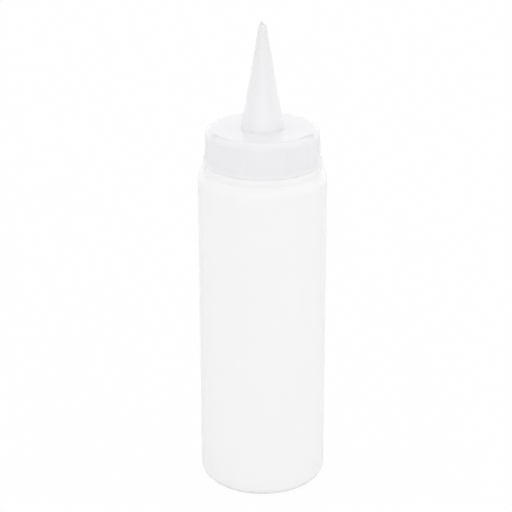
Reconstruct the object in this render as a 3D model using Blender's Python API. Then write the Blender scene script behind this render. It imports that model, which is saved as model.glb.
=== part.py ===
"""Condiment squeeze bottle: a blown bottle, and the one-piece screw cap with a cone nozzle.

Metres, +Z up. The origin is the centre of the standing ring, on the surface that the bottle stands on.
Both pieces are turned from a section about +Z. The cap sits over the neck, clear of the rim and of the
collar below it, and lifts off along +Z.
"""
import math

import bmesh
import bpy

# Bottle, blown in low-density polyethylene
BODY_RADIUS = 0.0295
BODY_HEIGHT = 0.1578
BODY_WALL = 0.0010
BASE_WALL = 0.0014
HEEL_RADIUS = 0.0048
STANDING_RING_WIDTH = 0.0050
PUSH_UP_HEIGHT = 0.0034
SHOULDER_DEPTH = 0.0083
SHOULDER_WIDTH = 0.0080
SHOULDER_RISE = 0.0070

# Collar at the top of the body, standing out from the foot of the neck
COLLAR_WIDTH = 0.00395
COLLAR_ROUNDING = 0.0005
COLLAR_INNER_ROUNDING = 0.0006
COLLAR_FILLET = 0.0008

# Neck of the bottle, without its thread
NECK_RADIUS = 0.0229
NECK_WALL = 0.0013
NECK_HEIGHT = 0.0142
NECK_ROOT_FILLET = 0.0008
RIM_ROUNDING = 0.0004

# Clearances between the cap and the bottle
RIM_SEAT_GAP = 0.0003
PLUG_CLEARANCE = 0.00035
THREAD_ROOM = 0.0015
CAP_STANDOFF = 0.0003

# Cap's top, skirt and foot flange, moulded in low-density polyethylene
TOP_PLATE = 0.0015
TOP_EDGE_RADIUS = 0.0034
SKIRT_WALL = 0.00135
SKIRT_DRAFT = 0.0005
INNER_CORNER_RADIUS = 0.0012
FLANGE_PROUD = 0.0008
FLANGE_HEIGHT = 0.0009
FLANGE_TOP_ROUNDING = 0.0003
FLANGE_FOOT_ROUNDING = 0.0003
FLANGE_FLARE_WIDTH = 0.0005
FLANGE_FLARE_HEIGHT = 0.0010

# Plug ring under the top, which closes the neck's bore
PLUG_DEPTH = 0.0035
PLUG_WALL = 0.0011
PLUG_LEAD_IN = 0.0005

# Grip ribs round the skirt
RIB_COUNT = 11
RIB_WIDTH = 0.0024
RIB_CREST_WIDTH = 0.0016
RIB_PROUD = 0.00015
RIB_HEADROOM = 0.0001
RIB_RUNOUT = 0.0008
RIB_PHASE_DEGREES = -103.7

# Cone nozzle and its tapered bore
CONE_BASE_RADIUS = 0.0095
CONE_HEIGHT = 0.0474
CONE_WALL = 0.0014
CONE_FILLET = 0.0009
TIP_RADIUS = 0.0017
TIP_ROUNDING = 0.0004
ORIFICE_RADIUS = 0.0007
ORIFICE_LENGTH = 0.0020

# Gate nub that the mould leaves on the nozzle's rim
NUB_HEIGHT = 0.0011
NUB_WIDTH = 0.0012
NUB_TAPER_SHARE = 0.7
NUB_RIM_SHARE = 0.8
NUB_AZIMUTH_DEGREES = 116.0

# Depth, as a share of the wall that carries them, to which added pieces are rooted
ROOT_SHARE = 0.5

# Colour and roughness of the two mouldings
BOTTLE_COLOUR = (0.91, 0.92, 0.92, 1)
BOTTLE_ROUGHNESS = 0.34
CAP_COLOUR = (0.86, 0.88, 0.91, 1)
CAP_ROUGHNESS = 0.16

# Facets of the turned pieces; the cap has the same whole number to each rib
BOTTLE_STEPS = 64
CAP_STEPS_PER_RIB = 6
ARC_STEPS = 6
NUB_STEPS = 8
HALVINGS = 40
MERGE_DISTANCE = 1e-6
SMOOTH_ANGLE_DEGREES = 35.0

# Places worked out from the sizes above
RIM_Z = BODY_HEIGHT + NECK_HEIGHT
SHOULDER_START = BODY_HEIGHT - SHOULDER_DEPTH
COLLAR_RADIUS = NECK_RADIUS + COLLAR_WIDTH
NECK_BORE_RADIUS = NECK_RADIUS - NECK_WALL
DOME_RADIUS = BODY_RADIUS - HEEL_RADIUS - STANDING_RING_WIDTH

# Heights on the cap, measured from the neck's rim, where the cap has its own origin
PLATE_UNDERSIDE = RIM_SEAT_GAP
CAP_TOP = PLATE_UNDERSIDE + TOP_PLATE
CAP_FOOT = CAP_STANDOFF - NECK_HEIGHT
FLANGE_TOP = CAP_FOOT + FLANGE_HEIGHT
NOZZLE_TIP = CAP_TOP + CONE_HEIGHT
SKIRT_INNER_TOP_RADIUS = NECK_RADIUS + THREAD_ROOM
SKIRT_TOP_RADIUS = SKIRT_INNER_TOP_RADIUS + SKIRT_WALL
SKIRT_FOOT_RADIUS = SKIRT_TOP_RADIUS + SKIRT_DRAFT
FLANGE_RADIUS = SKIRT_FOOT_RADIUS + FLANGE_PROUD
PLUG_RADIUS = NECK_BORE_RADIUS - PLUG_CLEARANCE


def clear_scene():
    """Remove every object, so that only the bottle is left."""
    for obj in list(bpy.data.objects):
        bpy.data.objects.remove(obj, do_unlink=True)


def arc(centre, radii, start, end, steps=ARC_STEPS):
    """Points (radius, height) of an elliptical arc about centre, from start to end in degrees."""
    points = []
    for step in range(steps + 1):
        angle = math.radians(start + (end - start) * step / steps)
        points.append((centre[0] + radii[0] * math.cos(angle), centre[1] + radii[1] * math.sin(angle)))
    return points


def push_up(radius):
    """Height of the base's pushed-up middle: half a cosine wave from its centre to the standing ring."""
    return PUSH_UP_HEIGHT * (1 + math.cos(math.pi * radius / DOME_RADIUS)) / 2


def dome_points(lift):
    """Points of the pushed-up base from its centre out to the standing ring, raised by lift."""
    radii = [DOME_RADIUS * step / ARC_STEPS for step in range(ARC_STEPS + 1)]
    return [(radius, lift + push_up(radius)) for radius in radii]


def shoulder_point(angle, inset):
    """Point of the shoulder's elliptical arc at an angle in degrees, moved in along its normal by inset."""
    cosine = math.cos(math.radians(angle))
    sine = math.sin(math.radians(angle))
    slope = math.hypot(cosine / SHOULDER_WIDTH, sine / SHOULDER_RISE)
    out = SHOULDER_WIDTH * cosine - inset * cosine / SHOULDER_WIDTH / slope
    up = SHOULDER_RISE * sine - inset * sine / SHOULDER_RISE / slope
    return BODY_RADIUS - SHOULDER_WIDTH + out, SHOULDER_START + up


def shoulder_end():
    """Angle at which the shoulder meets the collar's fillet, found by halving the range it lies in."""
    low = 0
    high = 90
    for _ in range(HALVINGS):
        middle = (low + high) / 2
        if shoulder_point(middle, -COLLAR_FILLET)[0] > COLLAR_RADIUS + COLLAR_FILLET:
            low = middle
        else:
            high = middle
    return low


def shoulder(inset):
    """Shoulder from the straight wall up, then the fillet that turns it up into the collar."""
    end = shoulder_end()
    points = [shoulder_point(end * step / ARC_STEPS, inset) for step in range(ARC_STEPS + 1)]
    centre = shoulder_point(end, -COLLAR_FILLET)
    facing = math.degrees(math.atan2(points[-1][1] - centre[1], points[-1][0] - centre[0])) % 360
    radius = COLLAR_FILLET + inset
    return points + arc(centre, (radius, radius), facing, 180, ARC_STEPS // 2)[1:]


def bottle_inside():
    """Section of the bottle's inner side, from the centre of the base up to the neck's bore."""
    collar_radius = COLLAR_RADIUS - BODY_WALL
    root_radius = NECK_ROOT_FILLET + BODY_WALL
    ceiling = BODY_HEIGHT - BODY_WALL
    points = dome_points(BASE_WALL)
    heel_centre = (BODY_RADIUS - HEEL_RADIUS, HEEL_RADIUS)
    points += arc(heel_centre, (HEEL_RADIUS - BODY_WALL, HEEL_RADIUS - BASE_WALL), -90, 0)
    points += shoulder(BODY_WALL)
    corner = (collar_radius - COLLAR_INNER_ROUNDING, ceiling - COLLAR_INNER_ROUNDING)
    points += arc(corner, (COLLAR_INNER_ROUNDING, COLLAR_INNER_ROUNDING), 0, 90, ARC_STEPS // 2)
    root_centre = (NECK_BORE_RADIUS + root_radius, ceiling + root_radius)
    points += arc(root_centre, (root_radius, root_radius), -90, -180)
    return points


def bottle_rim():
    """Section of the neck's flat rim with its two rounded corners, from inside to outside."""
    rounding = (RIM_ROUNDING, RIM_ROUNDING)
    points = arc((NECK_BORE_RADIUS + RIM_ROUNDING, RIM_Z - RIM_ROUNDING), rounding, 180, 90, ARC_STEPS // 2)
    points += arc((NECK_RADIUS - RIM_ROUNDING, RIM_Z - RIM_ROUNDING), rounding, 90, 0, ARC_STEPS // 2)
    return points


def bottle_outside():
    """Section of the bottle's outer side, from the neck's root down to the centre of the base."""
    root_centre = (NECK_RADIUS + NECK_ROOT_FILLET, BODY_HEIGHT + NECK_ROOT_FILLET)
    points = arc(root_centre, (NECK_ROOT_FILLET, NECK_ROOT_FILLET), 180, 270)
    collar_edge = (COLLAR_RADIUS - COLLAR_ROUNDING, BODY_HEIGHT - COLLAR_ROUNDING)
    points += arc(collar_edge, (COLLAR_ROUNDING, COLLAR_ROUNDING), 90, 0, ARC_STEPS // 2)
    points += reversed(shoulder(0))
    points += arc((BODY_RADIUS - HEEL_RADIUS, HEEL_RADIUS), (HEEL_RADIUS, HEEL_RADIUS), 0, -90)
    points += reversed(dome_points(0))
    return points


def cone_foot():
    """Fillet between the cone and the cap's top, tangent to both."""
    lean = math.atan2(CONE_BASE_RADIUS - TIP_RADIUS, CONE_HEIGHT)
    offset = CONE_FILLET * (1 - math.sin(lean)) / math.cos(lean)
    centre = (CONE_BASE_RADIUS + offset, CAP_TOP + CONE_FILLET)
    return arc(centre, (CONE_FILLET, CONE_FILLET), 180 + math.degrees(lean), 270, ARC_STEPS // 2)


def cap_outside():
    """Section of the cap's outer side, from the nozzle's orifice down to the foot of the skirt."""
    tip_centre = (TIP_RADIUS - TIP_ROUNDING, NOZZLE_TIP - TIP_ROUNDING)
    points = [(ORIFICE_RADIUS, NOZZLE_TIP)]
    points += arc(tip_centre, (TIP_ROUNDING, TIP_ROUNDING), 90, 0, ARC_STEPS // 2)
    points += cone_foot()
    edge_centre = (SKIRT_TOP_RADIUS - TOP_EDGE_RADIUS, CAP_TOP - TOP_EDGE_RADIUS)
    points += arc(edge_centre, (TOP_EDGE_RADIUS, TOP_EDGE_RADIUS), 90, 0)
    flare_centre = (SKIRT_FOOT_RADIUS + FLANGE_FLARE_WIDTH, FLANGE_TOP + FLANGE_FLARE_HEIGHT)
    points += arc(flare_centre, (FLANGE_FLARE_WIDTH, FLANGE_FLARE_HEIGHT), 180, 270, ARC_STEPS // 2)
    upper = (FLANGE_RADIUS - FLANGE_TOP_ROUNDING, FLANGE_TOP - FLANGE_TOP_ROUNDING)
    points += arc(upper, (FLANGE_TOP_ROUNDING, FLANGE_TOP_ROUNDING), 90, 0, ARC_STEPS // 2)
    lower = (FLANGE_RADIUS - FLANGE_FOOT_ROUNDING, CAP_FOOT + FLANGE_FOOT_ROUNDING)
    points += arc(lower, (FLANGE_FOOT_ROUNDING, FLANGE_FOOT_ROUNDING), 0, -90, ARC_STEPS // 2)
    return points


def cap_inside():
    """Section of the cap's inner side, from the foot of the skirt round the plug ring to the orifice."""
    corner = (SKIRT_INNER_TOP_RADIUS - INNER_CORNER_RADIUS, PLATE_UNDERSIDE - INNER_CORNER_RADIUS)
    plug_foot = PLATE_UNDERSIDE - PLUG_DEPTH
    points = [(SKIRT_INNER_TOP_RADIUS + SKIRT_DRAFT, CAP_FOOT)]
    points += arc(corner, (INNER_CORNER_RADIUS, INNER_CORNER_RADIUS), 0, 90, ARC_STEPS // 2)
    points.append((PLUG_RADIUS, PLATE_UNDERSIDE))
    points.append((PLUG_RADIUS, plug_foot + PLUG_LEAD_IN))
    points.append((PLUG_RADIUS - PLUG_LEAD_IN, plug_foot))
    points.append((PLUG_RADIUS - PLUG_WALL, plug_foot))
    points.append((PLUG_RADIUS - PLUG_WALL, PLATE_UNDERSIDE))
    points.append((CONE_BASE_RADIUS - CONE_WALL, PLATE_UNDERSIDE))
    points.append((ORIFICE_RADIUS, NOZZLE_TIP - ORIFICE_LENGTH))
    return points


def turned(name, section, steps, closed):
    """Spin a section of (radius, height) points about +Z into one closed solid."""
    mesh = bpy.data.meshes.new(name)
    shape = bmesh.new()
    ring = [shape.verts.new((radius, 0, height)) for radius, height in section]
    edges = [shape.edges.new(pair) for pair in zip(ring, ring[1:])]
    if closed:
        edges.append(shape.edges.new((ring[-1], ring[0])))
    bmesh.ops.spin(
        shape, geom=ring + edges, cent=(0, 0, 0), axis=(0, 0, 1), angle=math.tau, steps=steps, use_merge=True)
    bmesh.ops.remove_doubles(shape, verts=shape.verts, dist=MERGE_DISTANCE)
    bmesh.ops.recalc_face_normals(shape, faces=shape.faces)
    shape.to_mesh(mesh)
    shape.free()
    obj = bpy.data.objects.new(name, mesh)
    bpy.context.collection.objects.link(obj)
    return obj


def skirt_radius(height):
    """Outer radius of the drafted skirt at a height on the cap."""
    top = CAP_TOP - TOP_EDGE_RADIUS
    return SKIRT_TOP_RADIUS + SKIRT_DRAFT * (top - height) / (top - FLANGE_TOP)


def loft(shape, sections):
    """Join closed sections of equal point counts into a solid with a flat face at each end."""
    rings = [[shape.verts.new(point) for point in section] for section in sections]
    for lower, upper in zip(rings, rings[1:]):
        for index in range(len(lower)):
            following = (index + 1) % len(lower)
            shape.faces.new((lower[index], lower[following], upper[following], upper[index]))
    shape.faces.new(tuple(reversed(rings[0])))
    shape.faces.new(tuple(rings[-1]))


def rib_section(height, proud, azimuth):
    """Trapezoid of one rib at a height, rooted inside the skirt's wall and turned to its azimuth."""
    root = skirt_radius(height) - SKIRT_WALL * ROOT_SHARE
    crest = skirt_radius(height) + proud
    corners = (
        (root, -RIB_WIDTH / 2),
        (skirt_radius(height), -RIB_WIDTH / 2),
        (crest, -RIB_CREST_WIDTH / 2),
        (crest, RIB_CREST_WIDTH / 2),
        (skirt_radius(height), RIB_WIDTH / 2),
        (root, RIB_WIDTH / 2),
    )
    cosine = math.cos(azimuth)
    sine = math.sin(azimuth)
    return [(out * cosine - side * sine, out * sine + side * cosine, height) for out, side in corners]


def grip_ribs():
    """All the ribs as one guide: each stands in the flange and runs out into the skirt at its top."""
    top = CAP_TOP - TOP_EDGE_RADIUS - RIB_HEADROOM
    shape = bmesh.new()
    for index in range(RIB_COUNT):
        azimuth = math.radians(RIB_PHASE_DEGREES) + math.tau * index / RIB_COUNT
        loft(shape, (
            rib_section(FLANGE_TOP - FLANGE_HEIGHT * ROOT_SHARE, RIB_PROUD, azimuth),
            rib_section(top - RIB_RUNOUT, RIB_PROUD, azimuth),
            rib_section(top, -RIB_PROUD, azimuth),
        ))
    return guide("grip_ribs_guide", shape)


def gate_nub():
    """Small tapered stub on the nozzle's rim, longer along the rim than across it."""
    rim_width = TIP_RADIUS - ORIFICE_RADIUS
    centre = ORIFICE_RADIUS + rim_width / 2
    azimuth = math.radians(NUB_AZIMUTH_DEGREES)
    shape = bmesh.new()
    sections = []
    for height, share in ((NOZZLE_TIP - rim_width, 1), (NOZZLE_TIP + NUB_HEIGHT, NUB_TAPER_SHARE)):
        section = []
        for step in range(NUB_STEPS):
            turn = math.tau * step / NUB_STEPS
            out = centre + rim_width / 2 * NUB_RIM_SHARE * share * math.cos(turn)
            side = NUB_WIDTH / 2 * share * math.sin(turn)
            x = out * math.cos(azimuth) - side * math.sin(azimuth)
            y = out * math.sin(azimuth) + side * math.cos(azimuth)
            section.append((x, y, height))
        sections.append(section)
    loft(shape, sections)
    return guide("gate_nub_guide", shape)


def guide(name, shape):
    """Make a hidden guide object that a Boolean joins to the piece that carries it."""
    bmesh.ops.recalc_face_normals(shape, faces=shape.faces)
    mesh = bpy.data.meshes.new(name)
    shape.to_mesh(mesh)
    shape.free()
    obj = bpy.data.objects.new(name, mesh)
    obj.hide_render = True
    obj.display_type = "WIRE"
    bpy.context.collection.objects.link(obj)
    return obj


def unite(obj, addition):
    """Join a guide to a solid, so that they are one body, and remove the guide."""
    modifier = obj.modifiers.new(addition.name, "BOOLEAN")
    modifier.operation = "UNION"
    modifier.solver = "EXACT"
    modifier.object = addition
    depsgraph = bpy.context.evaluated_depsgraph_get()
    mesh = bpy.data.meshes.new_from_object(obj.evaluated_get(depsgraph))
    mesh.name = obj.name
    obj.modifiers.remove(modifier)
    obj.data = mesh
    bpy.data.objects.remove(addition, do_unlink=True)


def smooth(obj):
    """Shade the round faces smooth and keep the corners sharp."""
    obj.data.shade_smooth()
    obj.data.set_sharp_from_angle(angle=math.radians(SMOOTH_ANGLE_DEGREES))


def polyethylene(obj, colour, roughness):
    """Give a piece its own moulded polyethylene."""
    material = bpy.data.materials.new(obj.name + "_polyethylene")
    material.use_nodes = True
    shader = material.node_tree.nodes["Principled BSDF"]
    shader.inputs["Base Color"].default_value = colour
    shader.inputs["Roughness"].default_value = roughness
    shader.inputs["Metallic"].default_value = 0
    obj.data.materials.clear()
    obj.data.materials.append(material)


def make_bottle():
    """Blown bottle: pushed-up base, straight wall, rounded shoulder, collar and open neck."""
    section = bottle_inside() + bottle_rim() + bottle_outside()
    bottle = turned("bottle_body", section, BOTTLE_STEPS, closed=False)
    smooth(bottle)
    polyethylene(bottle, BOTTLE_COLOUR, BOTTLE_ROUGHNESS)
    return bottle


def make_cap(bottle):
    """One-piece cap on the bottle's rim: skirt, flange, grip ribs, plug ring and hollow cone nozzle."""
    cap = turned("nozzle_cap", cap_outside() + cap_inside(), RIB_COUNT * CAP_STEPS_PER_RIB, closed=True)
    unite(cap, grip_ribs())
    unite(cap, gate_nub())
    smooth(cap)
    polyethylene(cap, CAP_COLOUR, CAP_ROUGHNESS)
    cap.parent = bottle
    cap.location = (0, 0, RIM_Z)
    return cap


clear_scene()
make_cap(make_bottle())
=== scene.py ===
"""Looks of the condiment squeeze bottle: a blown bottle and its moulded screw cap in natural
polyethylene.

Metres, +Z up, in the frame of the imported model. Both pieces are closed surfaces turned about +Z from
one section each, with the thread, ribs, seams and gate nub added as smooth functions of azimuth and
height.
"""

import math

import bpy
import numpy as np
from mathutils import Matrix, Vector


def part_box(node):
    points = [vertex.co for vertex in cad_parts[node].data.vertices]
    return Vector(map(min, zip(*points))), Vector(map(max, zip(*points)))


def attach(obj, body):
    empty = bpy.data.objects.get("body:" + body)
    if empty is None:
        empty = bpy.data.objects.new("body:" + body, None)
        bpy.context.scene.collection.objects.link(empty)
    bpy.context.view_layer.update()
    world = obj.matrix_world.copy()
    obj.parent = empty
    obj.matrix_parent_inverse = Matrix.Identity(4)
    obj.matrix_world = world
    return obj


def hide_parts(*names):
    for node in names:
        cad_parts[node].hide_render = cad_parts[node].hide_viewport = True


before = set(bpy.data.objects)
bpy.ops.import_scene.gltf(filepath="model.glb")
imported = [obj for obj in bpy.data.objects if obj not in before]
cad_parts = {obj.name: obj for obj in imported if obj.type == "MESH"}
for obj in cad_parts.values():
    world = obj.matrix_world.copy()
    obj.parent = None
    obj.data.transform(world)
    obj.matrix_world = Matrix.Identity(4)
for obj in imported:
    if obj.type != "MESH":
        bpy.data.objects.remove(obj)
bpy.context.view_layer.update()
bottle_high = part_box("bottle_body")[1]
cap_low, cap_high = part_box("nozzle_cap")

# Bottle: its width and the height of its rim come from the frame
PARTING_PROUD = 0.00004
BODY_RADIUS = bottle_high.x - PARTING_PROUD
RIM_Z = bottle_high.z
BODY_WALL = 0.0010
BASE_WALL = 0.0014
HEEL_RADIUS = 0.0048
STANDING_RING_WIDTH = 0.0050
PUSH_UP_HEIGHT = 0.0034
SHOULDER_START = 0.1495
SHOULDER_WIDTH = 0.0080
SHOULDER_RISE = 0.0070
COLLAR_RADIUS = 0.02685
COLLAR_BEAD_PROUD = 0.00007
COLLAR_BEAD_WIDTH = 0.00045
COLLAR_BEAD_HEIGHT = 0.0009
COLLAR_INNER_ROUNDING = 0.0006
COLLAR_FILLET = 0.0008
FOOT_CLEARANCE = 0.00003

# Marks of blowing on the bottle. The seam takes at most a share of the height that the base has there.
WALL_WAVE = 0.00004
WALL_WAVE_FADE_SHARE = 0.125
PARTING_WIDTH = 0.00022
PINCH_OFF_PROUD = 0.0003
PINCH_OFF_WIDTH = 0.0009
PINCH_OFF_LENGTH = 0.0300
PINCH_OFF_FADE = 0.0012
PINCH_OFF_LIMIT_SHARE = 0.8

# Neck
NECK_RADIUS = 0.0229
NECK_WALL = 0.0013
NECK_ROOT_FILLET = 0.0008
RIM_ROUNDING = 0.0004

# Thread, right-handed, on the neck and inside the cap
THREAD_PITCH = 0.0042
THREAD_TURNS = 1.6
THREAD_WIDTH = 0.0011
THREAD_FLANK = 0.0005
THREAD_RUN_OUT_TURNS = 0.12
THREAD_START_BELOW_RIM = 0.0102
NECK_THREAD_PROUD = 0.0011
CAP_THREAD_PROUD = 0.0010

# Cap's top, skirt and foot flange
CAP_FOOT = cap_low.z
FLANGE_RADIUS = cap_high.x
RIM_SEAT_GAP = 0.0003
TOP_PLATE = 0.0015
TOP_EDGE_RADIUS = 0.0034
SKIRT_WALL = 0.00135
SKIRT_DRAFT = 0.0005
SKIRT_INNER_TOP_RADIUS = 0.0244
INNER_CORNER_RADIUS = 0.0012
FLANGE_HEIGHT = 0.0007
FLANGE_FLARE_HEIGHT = 0.0017
FLANGE_FOOT_ROUNDING = 0.00008
FOOT_INNER_ROUNDING = 0.0003

# Plug ring under the cap's top
PLUG_RADIUS = 0.02125
PLUG_DEPTH = 0.0035
PLUG_WALL = 0.0011
PLUG_LEAD_IN = 0.0005
PLUG_ROOT_FILLET = 0.0003

# Grip ribs
RIB_COUNT = 11
RIB_WIDTH = 0.0030
RIB_FLANK = 0.0010
RIB_PROUD = 0.0002
RIB_HEADROOM = 0.0001
RIB_RUNOUT = 0.0014
RIB_PHASE = math.radians(-103.7)

# Cone nozzle
CONE_BASE_RADIUS = 0.0095
CONE_WALL = 0.0014
CONE_FILLET = 0.0009
BORE_ENTRY_FILLET = 0.0006
TIP_RADIUS = 0.0017
TIP_ROUNDING = 0.0004
ORIFICE_RADIUS = 0.0007
ORIFICE_LENGTH = 0.0020
ORIFICE_ROUNDING = 0.0001

# Gate nub on the nozzle's rim
NUB_HEIGHT = 0.0011
NUB_HALF_WIDTH = 0.0006
NUB_HALF_DEPTH = 0.0004
NUB_SLOPE = 0.18
NUB_FOOT_SHARE = 1.15
NUB_SIDE_SHARE = 0.4
NUB_AZIMUTH = math.radians(116.0)

# Places worked out from the sizes above
BODY_HEIGHT = CAP_FOOT - FOOT_CLEARANCE
HEEL_CENTRE = (BODY_RADIUS - HEEL_RADIUS, HEEL_RADIUS)
DOME_RADIUS = BODY_RADIUS - HEEL_RADIUS - STANDING_RING_WIDTH
NECK_BORE_RADIUS = NECK_RADIUS - NECK_WALL
PLATE_UNDERSIDE = RIM_Z + RIM_SEAT_GAP
CAP_TOP = PLATE_UNDERSIDE + TOP_PLATE
SKIRT_TOP = CAP_TOP - TOP_EDGE_RADIUS
SKIRT_TOP_RADIUS = SKIRT_INNER_TOP_RADIUS + SKIRT_WALL
SKIRT_FOOT_RADIUS = SKIRT_TOP_RADIUS + SKIRT_DRAFT
FLANGE_TOP = CAP_FOOT + FLANGE_HEIGHT
NOZZLE_TIP = cap_high.z - NUB_HEIGHT

# Columns of the bottle: even ones all round, and close ones at its parting line, at shares of the line's
# width
BOTTLE_COLUMNS = 216
PARTING_COLUMN_SHARES = (-2, -1, -0.7, -0.35, 0, 0.35, 0.7, 1, 2)

# Columns of the cap: on each flank of a rib, reaching past it by a share of it, and in the gap to the next
# rib
FLANK_COLUMNS = 6
FLANK_MARGIN_SHARE = 0.2
GAP_COLUMNS = 14

# Fineness of the search for the shoulder's end, and the distance within which points are one
SEARCH_STEPS = 2000
MERGE_DISTANCE = 1e-9

# Polyethylene: its refractive index, how deep light soaks in, and pairs of tints and of roughness, between
# which the plastic's faint flow pattern runs. The nozzle's tints are those of its foot and its tip, a
# painted
# glow: palest at the foot, where light would pass through the wide bore, and greyer at the tip.
POLYETHYLENE_IOR = 1.51
SOAK_DEPTH = 0.0005
BOTTLE_TINTS = ("#FCFCFC", "#FBFBFB")
BOTTLE_ROUGHNESS = (0.16, 0.22)
CAP_TINTS = ("#F0F0F2", "#EEEEF0")
CAP_ROUGHNESS = (0.03, 0.06)
NOZZLE_PAINTED_GLOW_TINTS = ("#F4F4F7", "#ECECEC")

# Camera, fitted to the photograph's outline: its pixel scale and the place of the bottle in the frame
IMAGE_SIZE_PIXELS = 512
FOCAL_PIXELS = 1702.6
CAMERA_ELEVATION = math.radians(22.48)
CAMERA_ROLL = math.radians(-0.10)
CAMERA_DISTANCE = 0.7885
AIM_HEIGHT = 0.1112
AXIS_OFFSET_PIXELS = 6.6
SENSOR_WIDTH = 36.0

# Sheet of paper under the bottle, and the share of plain white that the camera sees on it
PAPER_COLOUR = "#F3F3F3"
PAPER_HALF_WIDTH = 0.49
PAPER_FRONT = 0.60
PAPER_BACK = 1.40
PAPER_WHITE_SHARE = 0.95

# Light tent. A level of 1 is white, and the slope is what each axis adds to the level in its own
# direction.
TENT_LEVEL = 0.915
TENT_SLOPE = (0.025, 0.20, 0.165)

# Soft lamp in front, low down. A higher power narrows its light.
LAMP_LEVEL = 0.80
LAMP_DIRECTION = (0.0, -0.99, 0.14)
LAMP_POWER = 8.0

# Backdrop, with its half width and height as shares of its distance, and the dark gap above it, a share
# of its height. Both fade out over a share of their reach. Directions that point less far back than the
# least one count as that one.
BACKDROP_LEVEL = 1.21
BACKDROP_HALF_WIDTH = 1.38
BACKDROP_HEIGHT = 0.52
BACKDROP_FADE = 0.04
GAP_SHARE = 0.60
GAP_LEVEL = 0.05
GAP_FADE = 0.1
LEAST_BEHIND = 0.001


def smooth(x):
    """Zero below 0, one above 1, and a smooth cubic between."""
    x = np.clip(x, 0, 1)
    return x * x * (3 - 2 * x)


def arc(centre, radii, start, end, count):
    """Section points (radius, height) of an elliptical arc about centre, from start to end in degrees. As
    in the functions below, count is their number."""
    angle = np.radians(np.linspace(start, end, count))
    return np.stack([centre[0] + radii[0] * np.cos(angle), centre[1] + radii[1] * np.sin(angle)], axis=1)


def turn(centre, radius, start, end, count):
    """Section points of a circular arc."""
    return arc(centre, (radius, radius), start, end, count)


def run(start, end, count):
    """Section points of a straight run."""
    return np.linspace(start, end, count)


def wave(start, end, count):
    """Section points of half a cosine wave in height, which starts and ends upright."""
    share = np.linspace(0, 1, count)
    radius = start[0] + (end[0] - start[0]) * (1 - np.cos(math.pi * share)) / 2
    return np.stack([radius, start[1] + (end[1] - start[1]) * share], axis=1)


def join(stretches):
    """Chain named stretches into one section, dropping points that repeat. Also gives each stretch's
    rows."""
    points, rows = [], {}
    for name, stretch in stretches.items():
        if points and np.allclose(points[-1][-1], stretch[0], atol=MERGE_DISTANCE):
            stretch = stretch[1:]
        first = sum(len(part) for part in points)
        rows[name] = slice(first, first + len(stretch))
        points.append(stretch)
    return np.concatenate(points), rows


def turned_surface(name, radius, height, azimuth, ring):
    """Closed mesh from two grids, radius and height, whose rows follow the section and whose columns
    follow azimuth: each point is (radius cos azimuth, radius sin azimuth, height). With ring, the last row
    joins the first; otherwise the first and last rows lie on the axis and become single points. All faces
    are turned over if the volume that they enclose comes out negative."""
    rows, columns = radius.shape
    points = np.stack([radius * np.cos(azimuth), radius * np.sin(azimuth), height], axis=2).reshape(-1, 3)
    index = np.arange(rows * columns).reshape(rows, columns)
    if not ring:
        index[0] = index[0, 0]
        index[-1] = index[-1, 0]
    lower = index if ring else index[:-1]
    upper = np.roll(index, -1, axis=0) if ring else index[1:]
    corners = [lower, np.roll(lower, -1, axis=1), np.roll(upper, -1, axis=1), upper]
    quads = np.stack(corners, axis=2).reshape(-1, 4)
    first, second, third, fourth = (points[quads[:, corner]] for corner in range(4))
    facing = np.cross(third - first, fourth - second)
    if np.sum(facing * points[quads].mean(axis=1)) < 0:
        quads = quads[:, ::-1]
    used = np.unique(index)
    place = np.zeros(len(points), int)
    place[used] = np.arange(len(used))
    faces = [tuple(dict.fromkeys(quad)) for quad in place[quads].tolist()]
    mesh = bpy.data.meshes.new(name)
    mesh.from_pydata(points[used].tolist(), [], faces)
    mesh.shade_smooth()
    mesh.update()
    piece = bpy.data.objects.new(name, mesh)
    bpy.context.scene.collection.objects.link(piece)
    return piece


def helix_ridge(height, azimuth, start, proud):
    """How far a thread's ridge stands out: proud, where the height is within half the thread's width of
    the right-hand helix start + pitch * turn, with sloped flanks, and fading over the run-out at both
    ends."""
    part_turn = (azimuth % math.tau) / math.tau
    along = np.round((height - start) / THREAD_PITCH - part_turn) + part_turn
    offset = np.abs(height - start - THREAD_PITCH * along)
    crest = smooth((THREAD_WIDTH / 2 + THREAD_FLANK - offset) / THREAD_FLANK)
    fade = smooth(along / THREAD_RUN_OUT_TURNS) * smooth((THREAD_TURNS - along) / THREAD_RUN_OUT_TURNS)
    return proud * crest * fade


def dome(lift, count):
    """Section points of the pushed-up base from its centre out to the standing ring, raised by lift: half
    a cosine wave."""
    radius = np.linspace(0, DOME_RADIUS, count)
    height = PUSH_UP_HEIGHT * (1 + np.cos(math.pi * radius / DOME_RADIUS)) / 2
    return np.stack([radius, lift + height], axis=1)


def shoulder_point(angle, inset):
    """Point of the shoulder's elliptical arc at an angle, moved in along its normal by inset."""
    cosine = np.cos(angle)
    sine = np.sin(angle)
    slope = np.hypot(cosine / SHOULDER_WIDTH, sine / SHOULDER_RISE)
    out = SHOULDER_WIDTH * cosine - inset * cosine / SHOULDER_WIDTH / slope
    up = SHOULDER_RISE * sine - inset * sine / SHOULDER_RISE / slope
    return np.stack([BODY_RADIUS - SHOULDER_WIDTH + out, SHOULDER_START + up], axis=-1)


def shoulder(inset, count):
    """Shoulder from the straight wall up to the fillet at the collar's foot, and that fillet. The
    shoulder ends where a point moved out by the fillet's radius is that radius away from the collar."""
    angles = np.linspace(0, math.pi / 2, SEARCH_STEPS)
    reach = shoulder_point(angles, -COLLAR_FILLET)[:, 0]
    end = np.interp(-COLLAR_RADIUS - COLLAR_FILLET, -reach, angles)
    points = shoulder_point(np.linspace(0, end, count), inset)
    centre = shoulder_point(end, -COLLAR_FILLET)
    facing = math.degrees(math.atan2(points[-1][1] - centre[1], points[-1][0] - centre[0])) % 360
    return {"shoulder": points, "fillet": turn(centre, COLLAR_FILLET + inset, facing, 180, count // 3)}


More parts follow.
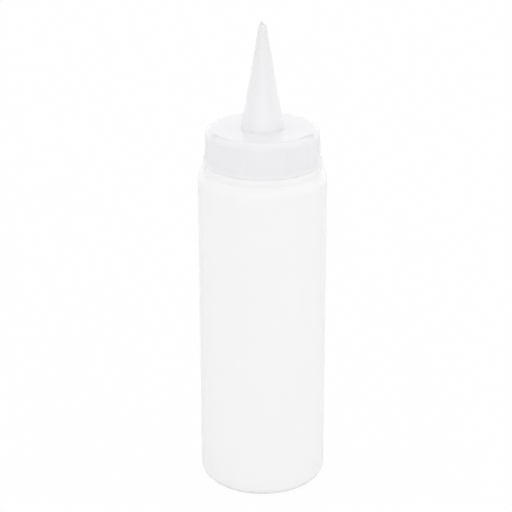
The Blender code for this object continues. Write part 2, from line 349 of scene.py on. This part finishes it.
def bottle_inside():
    """Stretches of the bottle's inner side, from the centre of the base up to the neck's bore."""
    ceiling = BODY_HEIGHT - BODY_WALL
    wall = BODY_RADIUS - BODY_WALL
    heel = (HEEL_RADIUS - BODY_WALL, HEEL_RADIUS - BASE_WALL)
    bend = shoulder(BODY_WALL, 16)
    collar = COLLAR_RADIUS - BODY_WALL
    corner = (collar - COLLAR_INNER_ROUNDING, ceiling - COLLAR_INNER_ROUNDING)
    root_radius = NECK_ROOT_FILLET + BODY_WALL
    root = (NECK_BORE_RADIUS + root_radius, ceiling + root_radius)
    return {
        "base_inside": dome(BASE_WALL, 20),
        "heel_inside": arc(HEEL_CENTRE, heel, -90, 0, 12),
        "wall_inside": run((wall, HEEL_RADIUS), (wall, SHOULDER_START), 30),
        "shoulder_inside": bend["shoulder"],
        "fillet_inside": bend["fillet"],
        "collar_inside": run((collar, bend["fillet"][-1][1]), (collar, corner[1]), 3),
        "corner_inside": turn(corner, COLLAR_INNER_ROUNDING, 0, 90, 5),
        "ceiling": run((corner[0], ceiling), (root[0], ceiling), 3),
        "root_inside": turn(root, root_radius, -90, -180, 8),
        "bore": run((NECK_BORE_RADIUS, root[1]), (NECK_BORE_RADIUS, RIM_Z - RIM_ROUNDING), 6),
    }


def bottle_outside():
    """Stretches of the bottle's rim and outer side, down to the centre of the base."""
    rim = RIM_Z - RIM_ROUNDING
    bend = shoulder(0, 24)
    root = (NECK_RADIUS + NECK_ROOT_FILLET, BODY_HEIGHT + NECK_ROOT_FILLET)
    bead = COLLAR_RADIUS + COLLAR_BEAD_PROUD
    bead_centre = (bead - COLLAR_BEAD_WIDTH, BODY_HEIGHT - COLLAR_BEAD_HEIGHT)
    return {
        "rim_inner_edge": turn((NECK_BORE_RADIUS + RIM_ROUNDING, rim), RIM_ROUNDING, 180, 90, 5),
        "rim_outer_edge": turn((NECK_RADIUS - RIM_ROUNDING, rim), RIM_ROUNDING, 90, 0, 5),
        "neck": run((NECK_RADIUS, rim), (NECK_RADIUS, root[1]), 84),
        "root": turn(root, NECK_ROOT_FILLET, 180, 270, 7),
        "collar_top": run((root[0], BODY_HEIGHT), (bead_centre[0], BODY_HEIGHT), 4),
        "collar_bead": arc(bead_centre, (COLLAR_BEAD_WIDTH, COLLAR_BEAD_HEIGHT), 90, 0, 12),
        "collar": run((bead, bead_centre[1]), (COLLAR_RADIUS, bend["fillet"][-1][1]), 5),
        "fillet": bend["fillet"][::-1],
        "shoulder": bend["shoulder"][::-1],
        "wall": run((BODY_RADIUS, SHOULDER_START), (BODY_RADIUS, HEEL_RADIUS), 50),
        "heel": turn(HEEL_CENTRE, HEEL_RADIUS, 0, -90, 20),
        "base": dome(0, 36)[::-1],
    }


def bottle_azimuths():
    """Even columns, with close ones added at both sides where the mould's halves meet."""
    even = np.linspace(0, math.tau, BOTTLE_COLUMNS, endpoint=False)
    close = PARTING_WIDTH / BODY_RADIUS * np.array(PARTING_COLUMN_SHARES)
    apart = np.abs((even + math.pi / 2) % math.pi - math.pi / 2) > close[-1]
    return np.unique(np.concatenate([even[apart], close % math.tau, close + math.pi]))


def waviness(azimuth, share):
    """Unevenness of the blown wall, from 0 to 1, at a share of its height: a wave of three lobes and one
    of two round the bottle, which twist opposite ways as they rise."""
    return 0.5 + 0.3 * np.sin(3 * azimuth + 5 * share) + 0.2 * np.cos(2 * azimuth - 9 * share)


def make_bottle():
    """Blown bottle: its section turned about the axis, plus the neck's thread, the parting line along
    both sides, a slow waviness of the wall and the pinch-off seam across the base."""
    section, rows = join(bottle_inside() | bottle_outside())
    azimuth = bottle_azimuths()
    radius = np.repeat(section[:, :1], len(azimuth), axis=1)
    height = np.repeat(section[:, 1:], len(azimuth), axis=1)
    neck = rows["neck"]
    radius[neck] += helix_ridge(height[neck], azimuth, RIM_Z - THREAD_START_BELOW_RIM, NECK_THREAD_PROUD)
    outside = slice(rows["root"].start, rows["heel"].stop)
    across = np.abs(BODY_RADIUS * ((azimuth + math.pi / 2) % math.pi - math.pi / 2))
    radius[outside] += PARTING_PROUD * smooth(1 - across / PARTING_WIDTH)
    wall = rows["wall"]
    share = (height[wall] - HEEL_RADIUS) / (SHOULDER_START - HEEL_RADIUS)
    fade = smooth(share / WALL_WAVE_FADE_SHARE) * smooth((1 - share) / WALL_WAVE_FADE_SHARE)
    radius[wall] -= WALL_WAVE * waviness(azimuth, share) * fade
    base = rows["base"]
    x = radius[base] * np.cos(azimuth)
    y = radius[base] * np.sin(azimuth)
    seam = smooth((PINCH_OFF_WIDTH / 2 - np.abs(y)) / (PINCH_OFF_WIDTH / 4))
    seam *= smooth((PINCH_OFF_LENGTH / 2 - np.abs(x)) / PINCH_OFF_FADE)
    height[base] -= np.minimum(PINCH_OFF_PROUD * seam, height[base] * PINCH_OFF_LIMIT_SHARE)
    return turned_surface("squeeze_bottle", radius, height, azimuth, ring=False)


def nozzle():
    """Stretches of the nozzle from the orifice's upper edge down the cone to the fillet at its foot,
    which is tangent to the cone and to the cap's top."""
    orifice = (ORIFICE_RADIUS + ORIFICE_ROUNDING, NOZZLE_TIP - ORIFICE_ROUNDING)
    tip = (TIP_RADIUS - TIP_ROUNDING, NOZZLE_TIP - TIP_ROUNDING)
    lean = math.atan2(CONE_BASE_RADIUS - TIP_RADIUS, NOZZLE_TIP - CAP_TOP)
    offset = CONE_FILLET * (1 - math.sin(lean)) / math.cos(lean)
    fillet = (CONE_BASE_RADIUS + offset, CAP_TOP + CONE_FILLET)
    rim_edge = turn(tip, TIP_ROUNDING, 90, math.degrees(lean), 8)
    foot = turn(fillet, CONE_FILLET, 180 + math.degrees(lean), 270, 8)
    return {
        "orifice_edge": turn(orifice, ORIFICE_ROUNDING, 180, 90, 3),
        "rim": run((orifice[0], NOZZLE_TIP), (tip[0], NOZZLE_TIP), 8),
        "rim_edge": rim_edge,
        "cone": run(rim_edge[-1], foot[0], 24),
        "cone_foot": foot,
    }


def cap_outside():
    """Stretches of the cap's outer side, from the foot of the cone down to the foot of the skirt."""
    top_edge = (SKIRT_TOP_RADIUS - TOP_EDGE_RADIUS, SKIRT_TOP)
    flare_top = FLANGE_TOP + FLANGE_FLARE_HEIGHT
    lower = (FLANGE_RADIUS - FLANGE_FOOT_ROUNDING, CAP_FOOT + FLANGE_FOOT_ROUNDING)
    top_start = nozzle()["cone_foot"][-1]
    return {
        "top": run(top_start, (top_edge[0], CAP_TOP), 6),
        "top_edge": turn(top_edge, TOP_EDGE_RADIUS, 90, 0, 18),
        "skirt": run((SKIRT_TOP_RADIUS, SKIRT_TOP), (SKIRT_FOOT_RADIUS, flare_top), 24),
        "flare": wave((SKIRT_FOOT_RADIUS, flare_top), (FLANGE_RADIUS, FLANGE_TOP), 12),
        "flange_foot": turn(lower, FLANGE_FOOT_ROUNDING, 0, -90, 6),
    }


def cap_inside():
    """Stretches of the cap's inner side, from the foot of the skirt round the plug ring."""
    foot = (SKIRT_INNER_TOP_RADIUS + SKIRT_DRAFT + FOOT_INNER_ROUNDING, CAP_FOOT + FOOT_INNER_ROUNDING)
    corner = (SKIRT_INNER_TOP_RADIUS - INNER_CORNER_RADIUS, PLATE_UNDERSIDE - INNER_CORNER_RADIUS)
    root = (PLUG_RADIUS + PLUG_ROOT_FILLET, PLATE_UNDERSIDE - PLUG_ROOT_FILLET)
    plug_foot = PLATE_UNDERSIDE - PLUG_DEPTH
    lead_in = (PLUG_RADIUS - PLUG_LEAD_IN, plug_foot + PLUG_LEAD_IN)
    plug_bore = PLUG_RADIUS - PLUG_WALL
    inner_root = (plug_bore - PLUG_ROOT_FILLET, root[1])
    inner_foot = (SKIRT_INNER_TOP_RADIUS + SKIRT_DRAFT, foot[1])
    return {
        "foot_inner_edge": turn(foot, FOOT_INNER_ROUNDING, 270, 180, 4),
        "skirt_inside": run(inner_foot, (SKIRT_INNER_TOP_RADIUS, corner[1]), 60),
        "corner": turn(corner, INNER_CORNER_RADIUS, 0, 90, 6),
        "seat": run((corner[0], PLATE_UNDERSIDE), (root[0], PLATE_UNDERSIDE), 3),
        "plug_root": turn(root, PLUG_ROOT_FILLET, 90, 180, 4),
        "plug_outside": run((PLUG_RADIUS, root[1]), (PLUG_RADIUS, lead_in[1]), 3),
        "plug_foot": turn(lead_in, PLUG_LEAD_IN, 0, -90, 5),
        "plug_inside": run((plug_bore, plug_foot), (plug_bore, inner_root[1]), 3),
        "plug_inner_root": turn(inner_root, PLUG_ROOT_FILLET, 0, 90, 4),
    }


def nozzle_bore():
    """Stretches from the plug ring across the plate's underside and up the tapered bore to the
    orifice."""
    entry = CONE_BASE_RADIUS - CONE_WALL
    lean = (entry - ORIFICE_RADIUS) / (NOZZLE_TIP - ORIFICE_LENGTH - PLATE_UNDERSIDE)
    centre = (entry + BORE_ENTRY_FILLET, PLATE_UNDERSIDE + BORE_ENTRY_FILLET)
    bore_start = (entry - BORE_ENTRY_FILLET * lean, centre[1])
    orifice_foot = (ORIFICE_RADIUS, NOZZLE_TIP - ORIFICE_LENGTH)
    plate_start = cap_inside()["plug_inner_root"][-1]
    return {
        "underside": run(plate_start, (centre[0], PLATE_UNDERSIDE), 4),
        "bore_entry": arc(centre, (centre[0] - bore_start[0], BORE_ENTRY_FILLET), 270, 180, 5),
        "bore": run(bore_start, orifice_foot, 14),
        "orifice": run(orifice_foot, (ORIFICE_RADIUS, NOZZLE_TIP - 2 * ORIFICE_ROUNDING), 4),
    }


def cap_azimuths():
    """Columns of the cap: the same set for each rib, close together on the rib's flanks."""
    pitch = math.tau / RIB_COUNT
    half = RIB_WIDTH / 2 / FLANGE_RADIUS
    flank = RIB_FLANK / FLANGE_RADIUS
    margin = FLANK_MARGIN_SHARE * flank
    one = np.concatenate([
        np.linspace(-half - margin, -half + flank + margin, FLANK_COLUMNS),
        [0.0],
        np.linspace(half - flank - margin, half + margin, FLANK_COLUMNS),
        np.linspace(half + margin, pitch - half - margin, GAP_COLUMNS)[1:-1],
    ])
    return RIB_PHASE + np.concatenate([one + index * pitch for index in range(RIB_COUNT)])


def ribbed(radius, height, azimuth):
    """Radius with the ribs raised: the drafted skirt's radius plus the ribs' proudness, within half a
    rib's width of each of the evenly spaced rib lines, sloped at the flanks and run out at the top."""
    draft = np.clip((SKIRT_TOP - height) / (SKIRT_TOP - FLANGE_TOP), 0, 1)
    plain = SKIRT_TOP_RADIUS + SKIRT_DRAFT * draft
    pitches = (azimuth - RIB_PHASE) * RIB_COUNT / math.tau
    across = np.abs(pitches - np.round(pitches)) * math.tau / RIB_COUNT * FLANGE_RADIUS
    rib = smooth((RIB_WIDTH / 2 - across) / RIB_FLANK)
    rib = rib * smooth((SKIRT_TOP - RIB_HEADROOM - height) / RIB_RUNOUT)
    return np.where(rib > 0, np.maximum(radius, plain + rib * RIB_PROUD), radius)


def nub_height(radius, azimuth):
    """Height of the gate nub on the nozzle's rim: a stub with a sloping top, steep sides and an oval
    foot."""
    along = radius * np.sin(azimuth - NUB_AZIMUTH)
    out = radius * np.cos(azimuth - NUB_AZIMUTH) - (ORIFICE_RADIUS + TIP_RADIUS) / 2
    reach = np.sqrt((along / NUB_HALF_WIDTH) ** 2 + (out / NUB_HALF_DEPTH) ** 2)
    lean = 1 - NUB_SLOPE * along / NUB_HALF_WIDTH
    return NUB_HEIGHT * smooth((NUB_FOOT_SHARE - reach) / NUB_SIDE_SHARE) * np.minimum(lean, 1)


def make_cap():
    """Moulded cap: its section turned about the axis, plus the ribs, the inner thread and the gate
    nub."""
    section, rows = join(nozzle() | cap_outside() | cap_inside() | nozzle_bore())
    azimuth = cap_azimuths()
    radius = np.repeat(section[:, :1], len(azimuth), axis=1)
    height = np.repeat(section[:, 1:], len(azimuth), axis=1)
    skirt = slice(rows["skirt"].start, rows["flare"].stop)
    radius[skirt] = ribbed(radius[skirt], height[skirt], azimuth)
    inside = rows["skirt_inside"]
    start = RIM_Z - THREAD_START_BELOW_RIM - THREAD_PITCH / 2
    radius[inside] -= helix_ridge(height[inside], azimuth, start, CAP_THREAD_PROUD)
    tip = slice(rows["rim"].start, rows["rim_edge"].stop)
    height[tip] += nub_height(radius[tip], azimuth)
    return turned_surface("cone_nozzle_cap", radius, height, azimuth, ring=True)


def linear(code):
    """An sRGB hex colour as the linear values, with full opacity, that Blender's sockets take."""
    values = [int(code[place:place + 2], 16) / 255 for place in (1, 3, 5)]
    return [v / 12.92 if v <= 0.04045 else ((v + 0.055) / 1.055) ** 2.4 for v in values] + [1.0]


def node(tree, kind, settings=None, **inputs):
    """Add a node of a kind with its settings, and link or set its inputs by name, or by number as _0."""
    made = tree.nodes.new(kind)
    for name, value in (settings or {}).items():
        setattr(made, name, value)
    for name, value in inputs.items():
        socket = made.inputs[int(name[1:]) if name[1:].isdigit() else name.replace("_", " ")]
        if isinstance(value, bpy.types.NodeSocket):
            tree.links.new(value, socket)
        else:
            socket.default_value = value
    return made


def math_node(tree, operation, first, second):
    """Output of a Math node on two values."""
    return node(tree, "ShaderNodeMath", {"operation": operation}, _0=first, _1=second).outputs[0]


def dot_product(tree, first, second):
    """Output of a Vector Math node with the dot product of two vectors."""
    settings = {"operation": "DOT_PRODUCT"}
    return node(tree, "ShaderNodeVectorMath", settings, _0=first, _1=second).outputs["Value"]


def mapped(tree, value, low, high, to_low=0.0, to_high=1.0):
    """Output of a Map Range node, which holds its ends."""
    return node(
        tree, "ShaderNodeMapRange", Value=value, From_Min=low, From_Max=high, To_Min=to_low,
        To_Max=to_high).outputs["Result"]


def blend(tree, share, first, second):
    """Output of a Mix node for two colours: the first where share is 0, the second where it is 1."""
    return node(tree, "ShaderNodeMix", {"data_type": "RGBA"}, _0=share, _6=first, _7=second).outputs[2]


def new_material(name):
    """An empty material with an output, ready for its nodes."""
    material = bpy.data.materials.new(name)
    material.use_nodes = True
    material.node_tree.nodes.clear()
    return material, material.node_tree, material.node_tree.nodes.new("ShaderNodeOutputMaterial")


def blown_polyethylene():
    """Natural low-density polyethylene, blown: milky, with a satin skin that carries the mould's fine
    grain. Light soaks through the thin wall, so the body glows evenly and only its turned-away edges
    darken."""
    material, tree, output = new_material("blown_low_density_polyethylene")
    place = node(tree, "ShaderNodeTexCoord").outputs["Object"]
    grain = node(tree, "ShaderNodeTexNoise", Vector=place, Scale=2600.0, Detail=2.0)
    flow = node(tree, "ShaderNodeTexNoise", Vector=place, Scale=38.0, Detail=3.0).outputs["Fac"]
    tint = blend(tree, flow, *[linear(code) for code in BOTTLE_TINTS])
    rough = mapped(tree, flow, 0.0, 1.0, *BOTTLE_ROUGHNESS)
    bump = node(tree, "ShaderNodeBump", Height=grain.outputs["Fac"], Strength=0.12, Distance=0.00003)
    shader = node(
        tree, "ShaderNodeBsdfPrincipled", Base_Color=tint, Roughness=rough, IOR=POLYETHYLENE_IOR,
        Normal=bump.outputs["Normal"], Subsurface_Weight=0.6, Subsurface_Radius=(1.0, 0.98, 0.96),
        Subsurface_Scale=SOAK_DEPTH)
    tree.links.new(shader.outputs["BSDF"], output.inputs["Surface"])
    return material


def moulded_polyethylene():
    """Natural low-density polyethylene, injection moulded: glossier than the bottle, so its top takes a
    reflection of the cone, and with a faint cool cast. The nozzle's colour carries a painted glow for the
    light that passes through where its bore is wide: palest at its foot and over the fillet there, greyer
    towards its tip."""
    material, tree, output = new_material("moulded_low_density_polyethylene")
    place = node(tree, "ShaderNodeTexCoord").outputs["Object"]
    flow = node(tree, "ShaderNodeTexNoise", Vector=place, Scale=60.0, Detail=2.0).outputs["Fac"]
    height = node(tree, "ShaderNodeSeparateXYZ", Vector=place).outputs["Z"]
    # Painted glow: the nozzle's tint is lightest at its foot and across the fillet, and greyer towards the
    # tip.
    fillet_top = CAP_TOP + CONE_FILLET
    glow_fade_up_nozzle = mapped(tree, height, fillet_top, NOZZLE_TIP)
    fillet_glow_share = mapped(tree, height, CAP_TOP, fillet_top)
    cap_tint = blend(tree, flow, *[linear(code) for code in CAP_TINTS])
    nozzle_painted_glow = blend(tree, glow_fade_up_nozzle, *[linear(code) for code in NOZZLE_PAINTED_GLOW_TINTS])
    tint = blend(tree, fillet_glow_share, cap_tint, nozzle_painted_glow)
    rough = mapped(tree, flow, 0.0, 1.0, *CAP_ROUGHNESS)
    bump = node(tree, "ShaderNodeBump", Height=flow, Strength=0.05, Distance=0.0001)
    shader = node(
        tree, "ShaderNodeBsdfPrincipled", Base_Color=tint, Roughness=rough, IOR=POLYETHYLENE_IOR,
        Normal=bump.outputs["Normal"], Subsurface_Weight=0.5, Subsurface_Radius=(0.97, 0.99, 1.0),
        Subsurface_Scale=SOAK_DEPTH)
    tree.links.new(shader.outputs["BSDF"], output.inputs["Surface"])
    return material


def white_to_the_eye(tree, shader, share):
    """Mix a shader with a share of plain white for camera rays, so that the ground looks white."""
    seen = node(tree, "ShaderNodeLightPath").outputs["Is Camera Ray"]
    white = node(tree, "ShaderNodeEmission", Color=linear("#FFFFFF"), Strength=1.0).outputs[0]
    whiteness = math_node(tree, "MULTIPLY", seen, share)
    return node(tree, "ShaderNodeMixShader", _0=whiteness, _1=shader, _2=white).outputs[0]


def make_floor():
    """Sheet of matt white paper, without gloss, which keeps the bottle's soft shadow."""
    left, right, front, back = -PAPER_HALF_WIDTH, PAPER_HALF_WIDTH, -PAPER_FRONT, PAPER_BACK
    corners = [(left, front, 0), (right, front, 0), (right, back, 0), (left, back, 0)]
    mesh = bpy.data.meshes.new("paper_sheet")
    mesh.from_pydata(corners, [], [(0, 1, 2, 3)])
    floor = bpy.data.objects.new("paper_sheet", mesh)
    bpy.context.scene.collection.objects.link(floor)
    material, tree, output = new_material("matt_white_paper")
    paper = node(tree, "ShaderNodeBsdfDiffuse", Color=linear(PAPER_COLOUR)).outputs[0]
    tree.links.new(white_to_the_eye(tree, paper, PAPER_WHITE_SHARE), output.inputs["Surface"])
    floor.data.materials.append(material)


def light_the_studio():
    """Soft surroundings like a light tent, and white to the camera. A brighter backdrop stands behind, a
    wide lamp lights the front from low down, and the unlit gap above the backdrop draws the thin dark
    line along the front edge of the cap's top."""
    world = bpy.data.worlds.new("light_tent")
    bpy.context.scene.world = world
    world.use_nodes = True
    tree = world.node_tree
    tree.nodes.clear()
    output = tree.nodes.new("ShaderNodeOutputWorld")
    direction = node(tree, "ShaderNodeTexCoord").outputs["Generated"]
    axes = node(tree, "ShaderNodeSeparateXYZ", Vector=direction).outputs
    behind = math_node(tree, "MAXIMUM", axes["Y"], LEAST_BEHIND)
    aside = math_node(tree, "ABSOLUTE", axes["X"], 0.0)
    across = math_node(tree, "DIVIDE", aside, math_node(tree, "MULTIPLY", behind, BACKDROP_HALF_WIDTH))
    above = math_node(tree, "DIVIDE", axes["Z"], math_node(tree, "MULTIPLY", behind, BACKDROP_HEIGHT))
    to_backdrop_edge = math_node(tree, "MAXIMUM", across, above)
    past_backdrop = mapped(tree, to_backdrop_edge, 1.0, 1 + BACKDROP_FADE)
    to_gap_edge = math_node(tree, "MAXIMUM", across, math_node(tree, "DIVIDE", above, 1 + GAP_SHARE))
    past_gap = mapped(tree, to_gap_edge, 1.0, 1 + GAP_FADE)
    tent = math_node(tree, "ADD", dot_product(tree, direction, TENT_SLOPE), TENT_LEVEL)
    facing = math_node(tree, "MAXIMUM", dot_product(tree, direction, LAMP_DIRECTION), 0.0)
    lamp = math_node(tree, "MULTIPLY", math_node(tree, "POWER", facing, LAMP_POWER), LAMP_LEVEL)
    lit = math_node(tree, "ADD", tent, lamp)
    outside = math_node(tree, "MAXIMUM", math_node(tree, "MULTIPLY", lit, past_gap), GAP_LEVEL)
    level = node(
        tree, "ShaderNodeMix", {"data_type": "FLOAT"}, Factor=past_backdrop, A=BACKDROP_LEVEL,
        B=outside).outputs[0]
    room = node(tree, "ShaderNodeBackground", Color=linear("#FFFFFF"), Strength=level).outputs[0]
    white = node(tree, "ShaderNodeBackground", Color=linear("#FFFFFF"), Strength=1.0).outputs[0]
    seen = node(tree, "ShaderNodeLightPath").outputs["Is Camera Ray"]
    mixed = node(tree, "ShaderNodeMixShader", _0=seen, _1=room, _2=white)
    tree.links.new(mixed.outputs[0], output.inputs["Surface"])


def place_camera():
    """Camera at the photograph's viewing angle, looking along +Y and down."""
    data = bpy.data.cameras.new("camera")
    data.sensor_width = SENSOR_WIDTH
    data.lens = SENSOR_WIDTH * FOCAL_PIXELS / IMAGE_SIZE_PIXELS
    data.clip_start = 0.01
    data.clip_end = 20.0
    camera = bpy.data.objects.new("camera", data)
    bpy.context.scene.collection.objects.link(camera)
    back = Vector((0, -math.cos(CAMERA_ELEVATION), math.sin(CAMERA_ELEVATION)))
    side = -AXIS_OFFSET_PIXELS * CAMERA_DISTANCE / FOCAL_PIXELS
    camera.location = Vector((side, 0, AIM_HEIGHT)) + back * CAMERA_DISTANCE
    tilt = Matrix.Rotation(math.pi / 2 - CAMERA_ELEVATION, 4, "X")
    camera.rotation_euler = (tilt @ Matrix.Rotation(CAMERA_ROLL, 4, "Z")).to_euler()
    bpy.context.scene.camera = camera


bpy.context.scene.view_settings.view_transform = "Standard"
place_camera()
light_the_studio()
make_floor()

bottle = make_bottle()
bottle.data.materials.append(blown_polyethylene())
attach(bottle, "bottle")
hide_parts("bottle_body")

cap = make_cap()
cap.data.materials.append(moulded_polyethylene())
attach(cap, "cap")
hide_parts("nozzle_cap")
